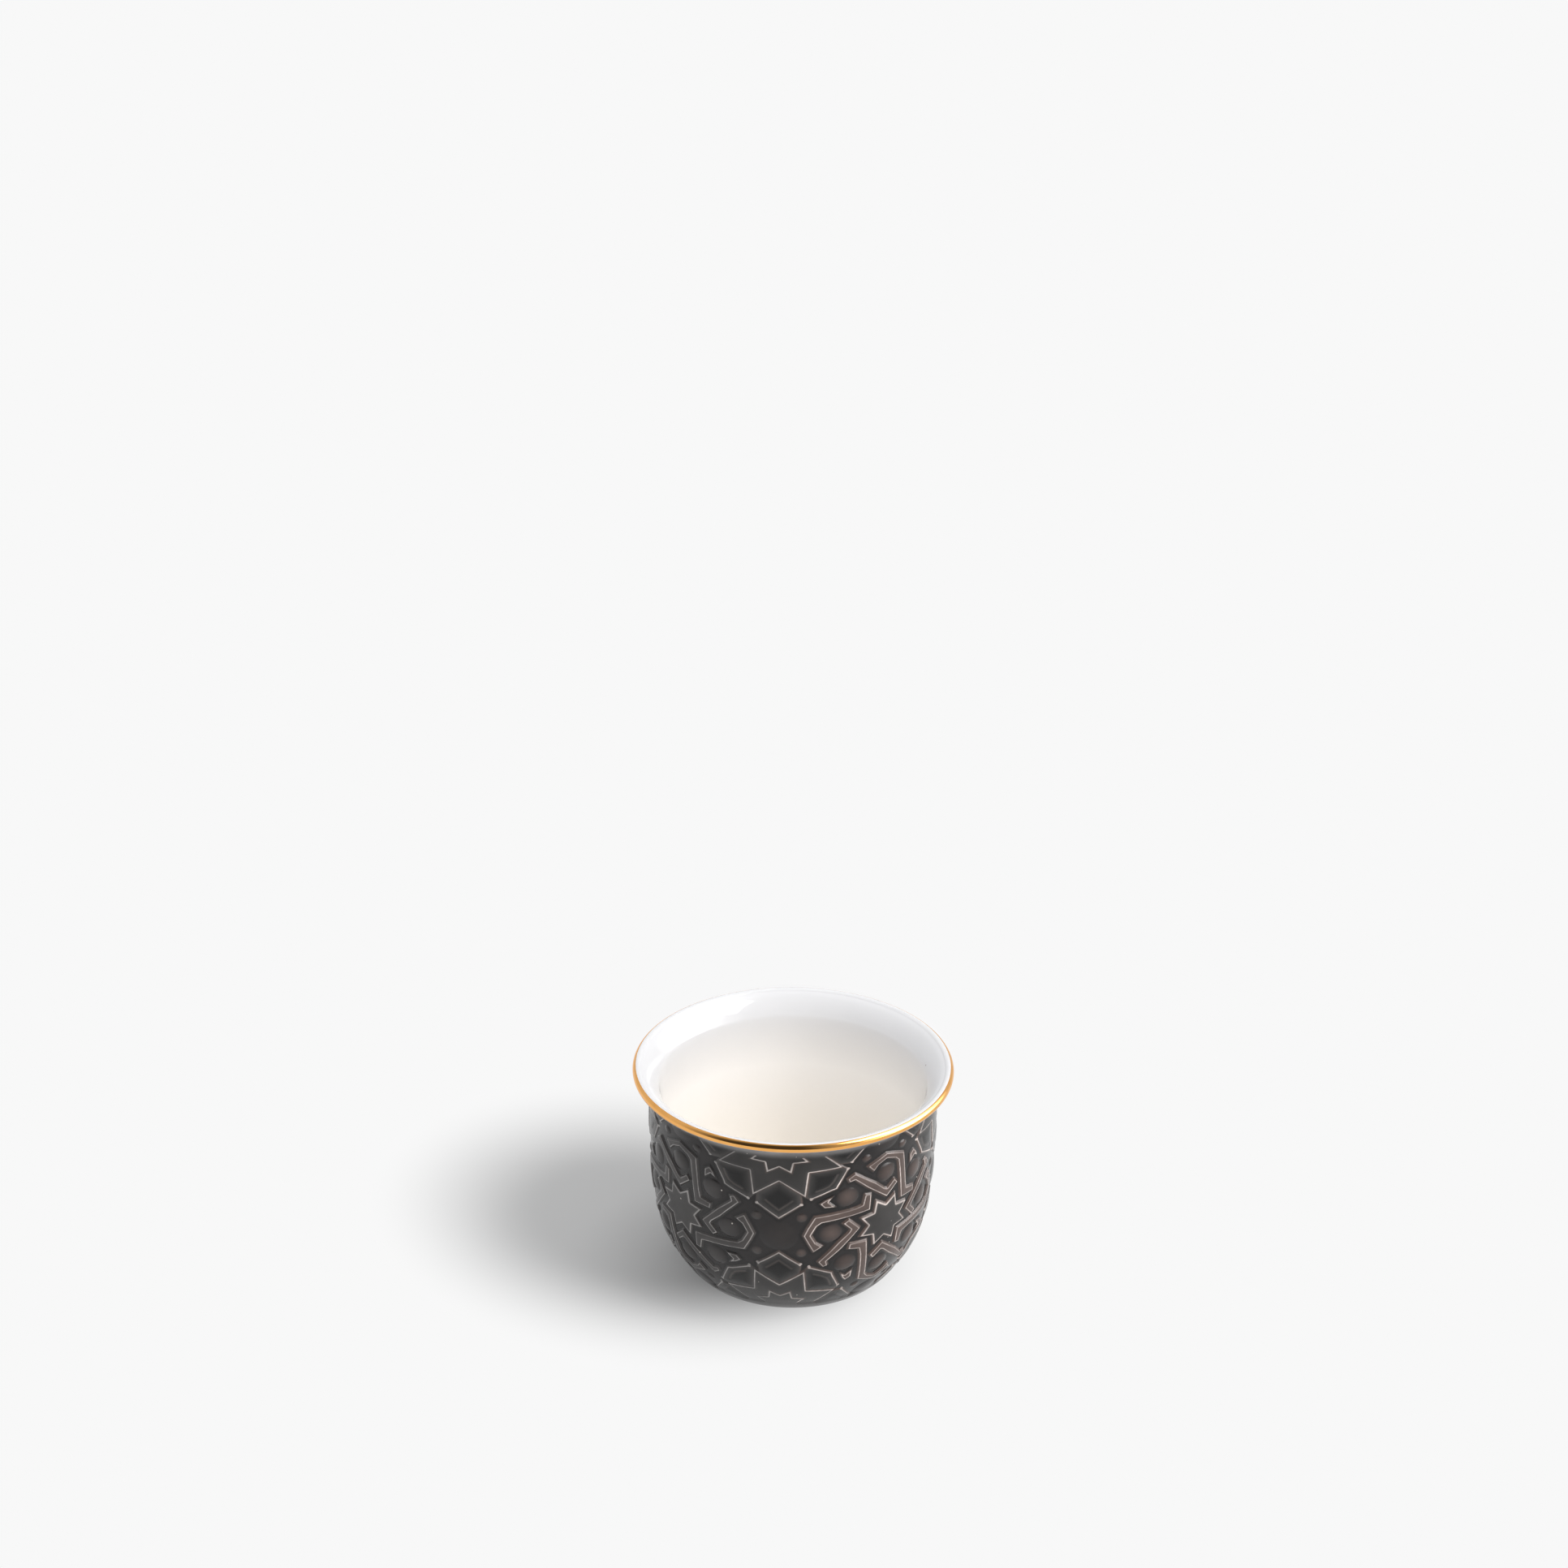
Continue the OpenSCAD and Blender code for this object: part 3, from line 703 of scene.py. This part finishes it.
# %% Bare clay
bare_clay, tree = new_material("bisque_porcelain")
place = add_node(tree, "ShaderNodeTexCoord").outputs["Object"]
grain = add_node(
    tree, "ShaderNodeTexNoise", {"Scale": pattern_scale(0.4), "Detail": 4.0}, {"Vector": place})
tone = add_node(
    tree, "ShaderNodeMix",
    {**colours, mix_first: linear("#d9d2c8"), mix_second: linear("#ece7df")},
    {mix_share: grain.outputs["Fac"]})
close_material(
    tree, tone.outputs[mixed], grain, {"Strength": 0.4, "Distance": 0.00005}, {"Roughness": 0.75})
print("the bare clay has", len(tree.nodes), "nodes")

# %% [markdown]
# ## The place of the relief
# The relief stands 0.45 mm over its ground, and its highest tops lie in the smooth outer curve
# of the cup. A point of the pattern is found on the wall by its length along the curve from the
# ledge over the foot. Towards the neck the cells get a little lower, as on the real cup.

# %% Place of the relief on the wall, in millimetres and in degrees round the cup
# A corner star lies 39.8 degrees from the front and 27.35 mm up the wall
star_turn, star_length = 39.8, 27.35
cell_length = 41.0
relief_low, relief_high, relief_height = 7.2, 45.3, 0.45
squeeze_start_share, squeeze_share = 0.2, 0.5


def out_of(line):
    """Unit direction to the right of a line of radius and height, at each of its points."""
    along = np.gradient(line, axis=0)
    along /= np.linalg.norm(along, axis=1, keepdims=True)
    return np.stack([along[:, 1], -along[:, 0]], 1)


# Length along the wall for every thousandth of a cell below and above the corner star
up_table = np.linspace(-0.6, 0.8, 1401)
squeezed = up_table - squeeze_share * np.maximum(0, up_table - squeeze_start_share) ** 2
length_table = star_length + cell_length * squeezed

foot_line = np.array([
    [foot_radius - 0.05, bare_height], [foot_radius, bare_height + 0.1], [foot_radius, 0.8],
    [foot_radius + 0.08, 1.08], [foot_radius + 0.35, ledge_height]])
coat_line = np.vstack([
    foot_line, outside, bead(lip_centre, lip_radius, lip_under, gold_start, 16)[1:]])
coat_out = out_of(coat_line)
coat_length = np.r_[0, np.cumsum(np.linalg.norm(np.diff(coat_line, axis=0), axis=1))]
coat_length -= coat_length[len(foot_line)]
print("wall length from the ledge in mm:", round(float(coat_length[-1]), 2))

# %% [markdown]
# ## One quarter of the coat
# The coat is one quarter of the way round, a cell wide, and is used four times, each turned by
# 90 degrees. Its front is a grid of about 0.15 mm, fine enough for lines of a quarter of a
# millimetre. The relief eases out at its lower and its upper border.

# %% Grid of one quarter
across_steps = 290
relief_rows = 262
low_rows, high_rows = 18, 28
low_fade, high_fade = 1.6, 0.8
lengths = np.r_[
    np.linspace(coat_length[0], relief_low - low_fade, low_rows, endpoint=False),
    np.linspace(relief_low - low_fade, relief_high + high_fade, relief_rows, endpoint=False),
    np.linspace(relief_high + high_fade, coat_length[-1], high_rows)]
# One column more on each side, so that the normals know their neighbours
across = np.arange(-1, across_steps + 2) / across_steps
turns = np.radians(star_turn) + across * np.pi / 2
up = np.interp(lengths, length_table, up_table)
print("one quarter has", len(lengths), "rows of", across_steps + 1, "points")

# %% Front of one quarter
def coat_surface(turns, lengths, lift):
    """Place on the wall at a length, moved out by the lift, and turned round the axis."""
    line = np.stack([np.interp(lengths, coat_length, coat_line[:, k]) for k in (0, 1)], -1)
    out = np.stack([np.interp(lengths, coat_length, coat_out[:, k]) for k in (0, 1)], -1)
    out /= np.linalg.norm(out, axis=-1, keepdims=True)
    radius = line[:, None, 0] + out[:, None, 0] * lift
    height = line[:, None, 1] + out[:, None, 1] * lift
    return np.stack([radius * np.sin(turns), -radius * np.cos(turns), height], -1)


def relief_share(length):
    """1 on the relief, easing to 0 over the fade below it and the fade above it."""
    return (ease((length - relief_low) / low_fade + 1)
            * ease((relief_high - length) / high_fade + 1))


x, y = fold(np.broadcast_to(across, (len(lengths), len(across))), up[:, None] + 0 * across)
depth, domes, creases = depths_at(x, y), domes_at(x, y), creases_at(x, y)
sunk = relief_share(lengths)[:, None]
lift = (height_at(depth, domes, creases) - relief_height) * sunk
wide = coat_surface(turns, lengths, lift)
front = wide[:, 1:-1]
print("the relief lies between", lift.min().round(3), "and", lift.max().round(3), "mm")

# %% [markdown]
# ## Marks, normals and the closed piece
# The mesh carries the depths as marks that the glaze reads, in millimetres. Normals come from
# the formula itself, across each point's two neighbours, so that the quarters meet without a
# seam. A plain back 0.36 mm under the ground of the relief closes the coat towards the clay.

# %% Marks for the glaze
upper_edge_shade_share, plain_thin_share, no_line = 0.65, 0.25, 10
even = 1 - sunk * np.ones_like(across)
island = np.maximum.reduce(list(depth.values())) * cell_length
thin = thin_at(depth, domes)
# The pale line is bright along the lower edges of the straps and faint along the upper ones, where
# it is painted darker for the shade there
upper = np.clip(-np.gradient(island, lengths, axis=0), 0, 1)
# Outside the relief the glaze is an even coat without edges
marks = {
    "edge": line_at(x, y, depth) * cell_length + no_line * even,
    "line": 1 - upper_edge_shade_share * upper * np.clip(thin, plain_thin_share, 1),
    # The painted dark reflection in the middle of the plates is added to the depth
    "island": (np.clip(island, -1, 1) + dark_middle_at(depth)) * (1 - even) + even,
    "thin": thin * (1 - even) + plain_thin_share * even,
    "crease": crease_at(depth, creases) * cell_length + no_line * even}
print("marks:", {name: values.round(2).max() for name, values in marks.items()})

# %% Normals of the front and points of the back
back_share = 0.9
normals = np.cross(wide[:, 2:] - wide[:, :-2], np.gradient(wide, axis=0)[:, 1:-1])
normals /= np.linalg.norm(normals, axis=-1, keepdims=True)

# Few rows do for the hidden back, here by their length along the wall in millimetres
back_lengths = np.r_[coat_length[0], -0.4, np.linspace(1.0, relief_low, 6),
                     np.linspace(12, relief_high, 10), 46.5, 47.8, coat_length[-1]]
back_lift = -(relief_height * relief_share(back_lengths) + glaze_thickness * back_share)
back = coat_surface(turns, back_lengths, back_lift[:, None] + 0 * turns)[:, 1:-1]
print("rows on the back:", len(back_lengths))

# %% Faces of one quarter
def grid_faces(rows, close=False):
    """Quads between neighbouring rows of point numbers."""
    here, right = (rows, np.roll(rows, -1, 1)) if close else (rows[:, :-1], rows[:, 1:])
    return np.stack([here[:-1], right[:-1], right[1:], here[1:]], -1).reshape(-1, 4)


columns = across_steps + 1
front_rows = np.arange(len(lengths) * columns).reshape(-1, columns)
back_rows = front_rows.size + np.arange(len(back_lengths) * columns).reshape(-1, columns)
quads = np.vstack([
    grid_faces(front_rows), grid_faces(back_rows[::-1]),
    grid_faces(np.stack([back_rows[0], front_rows[0]])),
    grid_faces(np.stack([front_rows[-1], back_rows[-1]]))])
sides = [np.r_[front_rows[::-1, 0], back_rows[:, 0]].tolist(),
         np.r_[front_rows[:, -1], back_rows[::-1, -1]].tolist()]
coat_points = np.vstack([front.reshape(-1, 3), back.reshape(-1, 3)])
coat_normals = np.vstack([normals.reshape(-1, 3), -normals[:1].repeat(len(back), 0).reshape(-1, 3)])
print("one quarter has", 2 * len(quads) + len(sides[0]) * 2 - 4, "triangles")

# %% [markdown]
# ## The dark coat, four quarters
# The same points serve four times, turned about the axis. Each quarter is a closed piece of its
# own, which keeps it light enough, and together they take the place of the plainer solid coat.

# %% Four quarters of the coat
millimetre = 0.001


def link_mesh(name, points, faces, material, smooth_angle=40):
    """Object at the origin from points in millimetres and faces that point outwards."""
    mesh = bpy.data.meshes.new(name)
    mesh.from_pydata(points.reshape(-1, 3) * millimetre, [], faces)
    mesh.update()
    mesh.shade_smooth()
    if smooth_angle:
        mesh.set_sharp_from_angle(angle=math.radians(smooth_angle))
    mesh.materials.append(material)
    piece = bpy.data.objects.new(name, mesh)
    bpy.context.scene.collection.objects.link(piece)
    return piece


hidden_mark = 0.9
back_marks = np.full(len(back_rows) * columns, hidden_mark)
coat_pieces = []
for quarter in range(4):
    turn = np.array(Matrix.Rotation(math.radians(90 * quarter), 3, "Z"))
    piece = link_mesh(f"dark_glaze_quarter_{quarter + 1}", coat_points @ turn.T,
                      quads.tolist() + sides, dark_glaze, smooth_angle=0)
    piece.data.normals_split_custom_set_from_vertices(coat_normals @ turn.T)
    for name, values in marks.items():
        layer = piece.data.attributes.new(name, "FLOAT", "POINT")
        layer.data.foreach_set(
            "value", np.r_[values[:, 1:-1].ravel(), back_marks].astype(np.float32))
    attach(piece, "root")
    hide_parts("outer_glaze")
    coat_pieces.append(piece)
print("coat pieces:", [p.name for p in coat_pieces])

# %% [markdown]
# ## The white lining
# The white glaze runs from the middle of the floor up the wall and over the lip, and on under
# the gold. It is a thin closed coat, so its profile goes up the inner wall, round the lip and
# back down along the clay, and is turned about the axis. On the axis the rows end in a pole.

# %% Turned pieces
def turned(line, columns):
    """Points of a profile turned about Z: radius times sine, minus radius times cosine, height."""
    angle = np.arange(columns) * 2 * np.pi / columns
    radius, height = line[:, :1], line[:, 1:]
    return np.stack([radius * np.sin(angle), -radius * np.cos(angle), height + 0 * angle], -1)


def turned_piece(name, line, material, columns):
    """Closed piece turned from a closed profile; a profile that ends on the axis gets poles."""
    following = np.roll(line, -1, 0)
    if np.sum(line[:, 0] * following[:, 1] - following[:, 0] * line[:, 1]) < 0:
        line = line[::-1]
    poles = line[0, 0] < 1e-6
    inner = line[1:-1] if poles else line
    rows = np.arange(len(inner) * columns).reshape(len(inner), columns)
    points = turned(inner, columns).reshape(-1, 3)
    if not poles:
        faces = grid_faces(np.vstack([rows, rows[:1]]), close=True).tolist()
    else:
        low, high = len(points), len(points) + 1
        points = np.vstack([points, [0, 0, line[0, 1]], [0, 0, line[-1, 1]]])
        first, last = rows[0], rows[-1]
        start_fan = np.stack([0 * first + low, np.roll(first, -1), first], 1)
        end_fan = np.stack([0 * last + high, last, np.roll(last, -1)], 1)
        faces = grid_faces(rows, close=True).tolist() + start_fan.tolist() + end_fan.tolist()
    return link_mesh(name, points, faces, material)


print("a bead turned in 8 columns:", turned(bead((2, 0), 1, 0, 90, 2), 8).shape)

# %% White lining
lip_steps, lining_columns = 12, 288
clay_line = inside[::inside_steps] + out_of(inside)[::inside_steps] * glaze_thickness
clay_line[:, 0] = np.maximum(clay_line[:, 0], 0)
clay_line[0, 0] = 0
lining = np.vstack([
    inside,
    bead(lip_centre, lip_radius, lip_inside, gold_end, lip_steps)[1:],
    bead(lip_centre, lip_radius - gold_thickness, gold_end, gold_start, lip_steps),
    bead(lip_centre, lip_radius - glaze_thickness, gold_start, lip_inside, lip_steps),
    clay_line[-2::-1]])
lining_piece = turned_piece("white_glaze_lining", lining, white_glaze, lining_columns)
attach(lining_piece, "root")
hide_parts("inner_glaze")
print("lining faces:", len(lining_piece.data.polygons))

# %% [markdown]
# ## The gold lip
# The gold covers the outer side of the rolled lip and ends 20 degrees before its top. Real fired
# gold is thinner than a hair. Here it is a tenth of a millimetre, the least that stays a solid.

# %% Gold lip
outer_steps, inner_steps, gold_columns = 20, 8, 384
gold_line = np.vstack([
    bead(lip_centre, lip_radius, gold_start, gold_end, outer_steps),
    bead(lip_centre, lip_radius - gold_thickness, gold_end, gold_start, inner_steps)])
gold_piece = turned_piece("gold_lip", gold_line, gold, gold_columns)
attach(gold_piece, "root")
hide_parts("gold_rim")
print("gold faces:", len(gold_piece.data.polygons))

# %% [markdown]
# ## The foot
# The fired clay body and the glaze in the hollow of the foot already have their right shape in
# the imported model, so they stay and only get their finish.

# %% Finishes for the CAD nodes that stay
for node, material in (("porcelain_body", bare_clay), ("foot_well_glaze", white_glaze)):
    for slot in bpy.data.objects[node].material_slots:
        slot.material = material
print("finished:", "porcelain_body", "foot_well_glaze")

# %% [markdown]
# ## The table
# The cup stands on a pale table. Its paint takes the shadow, which keeps to the left of the cup.
# Around that the camera and the gloss see the table glow as plain backdrop, so no more light has to
# fall on the cup to make it white. The glow fades in over an ellipse round the shadow. Inside the
# ellipse the grey paint shows even where no shadow falls, which is a painted shadow.

# %% Table paint
floor_paint, tree = new_material("pale_table")
paint = add_node(tree, "ShaderNodeBsdfDiffuse", {"Color": linear("#b6b6b6")})
glow = add_node(tree, "ShaderNodeEmission", {"Color": linear("#f8f8f8"), "Strength": 1.0})
rays = add_node(tree, "ShaderNodeLightPath")
seen = add_node(
    tree, "ShaderNodeMath", {"operation": "ADD", "use_clamp": True},
    {0: rays.outputs["Is Camera Ray"], 1: rays.outputs["Is Glossy Ray"]})
# The ellipse reaches 64 and 53 mm from a centre to the left of the cup
place = add_node(tree, "ShaderNodeTexCoord").outputs["Object"]
# Inside this ellipse the darker paint shows where no shadow falls: a painted shadow
ellipse = add_node(
    tree, "ShaderNodeMapping",
    {"vector_type": "TEXTURE", "Location": (-0.028, 0.017, 0), "Rotation": (0, 0, -0.6),
     "Scale": (0.064, 0.053, 1)},
    {"Vector": place})
far = add_node(
    tree, "ShaderNodeVectorMath", {"operation": "LENGTH"}, {0: ellipse.outputs["Vector"]})
shadow_ellipse_glow_share = add_node(
    tree, "ShaderNodeMapRange",
    {**smooth, "From Min": 0.37, "From Max": 1.0, "To Min": 0.1, "To Max": 1.0},
    {"Value": far.outputs["Value"]})
share = add_node(
    tree, "ShaderNodeMath", {"operation": "MULTIPLY"},
    {0: seen.outputs[0], 1: shadow_ellipse_glow_share.outputs["Result"]})
table_mix = add_node(
    tree, "ShaderNodeMixShader", None,
    {0: share.outputs[0], 1: paint.outputs[0], 2: glow.outputs[0]})
add_node(tree, "ShaderNodeOutputMaterial", None, {"Surface": table_mix.outputs[0]})
print("the table's paint has", len(tree.nodes), "nodes")

# %% Table, in millimetres
table_reach, table_gap = 6000, 0.02
reach = np.linspace(-table_reach, table_reach, 9)
table_x, table_y = np.meshgrid(reach, reach)
table_points = np.stack([table_x, table_y, 0 * table_x - table_gap], -1)
table_rows = np.arange(table_x.size).reshape(table_x.shape)
table = link_mesh("table", table_points, grid_faces(table_rows).tolist(), floor_paint)
print("table faces:", len(table.data.polygons))

# %% [markdown]
# ## The lamps
# A large soft light on the right, above and a little in front, throws the shadow to the left. A
# lower one beside it shows in the glaze as a window. The light from above and the fill from the
# front only soften the shade, so the gloss doesn't show them.

# %% Lamps
def soft_light(name, place, target, size, watts, colour):
    """Rectangular area light at a place in metres, turned to face a target."""
    data = bpy.data.lights.new(name, "AREA")
    data.shape = "RECTANGLE"
    data.size, data.size_y = size
    data.energy = watts
    data.color = linear(colour)[:3]
    lamp = bpy.data.objects.new(name, data)
    lamp.location = place
    lamp.rotation_euler = (Vector(target) - Vector(place)).to_track_quat("-Z", "Y").to_euler()
    bpy.context.scene.collection.objects.link(lamp)
    return lamp


soft_light("key_softbox", place=(0.55, -0.25, 0.7), target=(0, 0, 0.03), size=(0.4, 0.4),
           watts=3.4, colour="#fffcf8")
soft_light("window_light", place=(0.85, -0.23, 0.56), target=(0, 0, 0.04), size=(0.3, 0.4),
           watts=1.4, colour="#ffffff")
overhead = soft_light("overhead_softbox", place=(0.05, 0.08, 1.1), target=(0, 0, 0.02),
                      size=(0.5, 0.5), watts=3.5, colour="#ffffff")
overhead.visible_glossy = False
front_fill = soft_light("front_fill", place=(0, -1.0, 0.45), target=(0, 0, 0.02),
                        size=(0.8, 0.5), watts=1.4, colour="#ffffff")
front_fill.visible_glossy = False

# %% [markdown]
# ## The room
# Gloss shows the room, so the room is part of the look. It is bright all round and brightest
# at the window on the right. A dark place behind the camera draws the dark band along the front
# of the gold. The camera itself sees a plain pale backdrop.

# %% Room
world = bpy.data.worlds.new("studio")
bpy.context.scene.world = world
world.use_nodes = True
tree = world.node_tree
tree.nodes.clear()
rays = add_node(tree, "ShaderNodeLightPath")
direction = add_node(tree, "ShaderNodeTexCoord").outputs["Generated"]
toward = add_node(
    tree, "ShaderNodeVectorMath", {"operation": "DOT_PRODUCT", 1: (0.0, 0.9, -0.35)},
    {0: direction})
bright_share = add_node(
    tree, "ShaderNodeMapRange",
    {**smooth, "From Min": -0.75, "From Max": -0.1, "To Min": 0.08, "To Max": 1.0},
    {"Value": toward.outputs["Value"]})
to_window = add_node(
    tree, "ShaderNodeVectorMath", {"operation": "DOT_PRODUCT", 1: (0.88, -0.3, 0.37)},
    {0: direction})
window_side = add_node(
    tree, "ShaderNodeMapRange",
    {**smooth, "From Min": 0.5, "From Max": 0.97, "To Min": 0.85, "To Max": 9.0},
    {"Value": to_window.outputs["Value"]})
gloss_level = add_node(
    tree, "ShaderNodeMath", {"operation": "MULTIPLY"},
    {0: bright_share.outputs["Result"], 1: window_side.outputs["Result"]})
strength = add_node(
    tree, "ShaderNodeMix", {"data_type": "FLOAT", number_first: 0.68},
    {mix_share: rays.outputs["Is Glossy Ray"], number_second: gloss_level.outputs[0]})
surround = add_node(
    tree, "ShaderNodeBackground", {"Color": linear("#f6f7f8")}, {"Strength": strength.outputs[0]})
backdrop = add_node(tree, "ShaderNodeBackground", {"Color": linear("#f8f8f8"), "Strength": 1.0})
seen = add_node(
    tree, "ShaderNodeMath", {"operation": "ADD", "use_clamp": True},
    {0: rays.outputs["Is Camera Ray"], 1: rays.outputs["Is Transmission Ray"]})
sky = add_node(
    tree, "ShaderNodeMixShader", None,
    {0: seen.outputs[0], 1: surround.outputs[0], 2: backdrop.outputs[0]})
add_node(tree, "ShaderNodeOutputWorld", None, {"Surface": sky.outputs[0]})

bpy.context.scene.view_settings.view_transform = "Standard"
print("the room has", len(tree.nodes), "nodes")
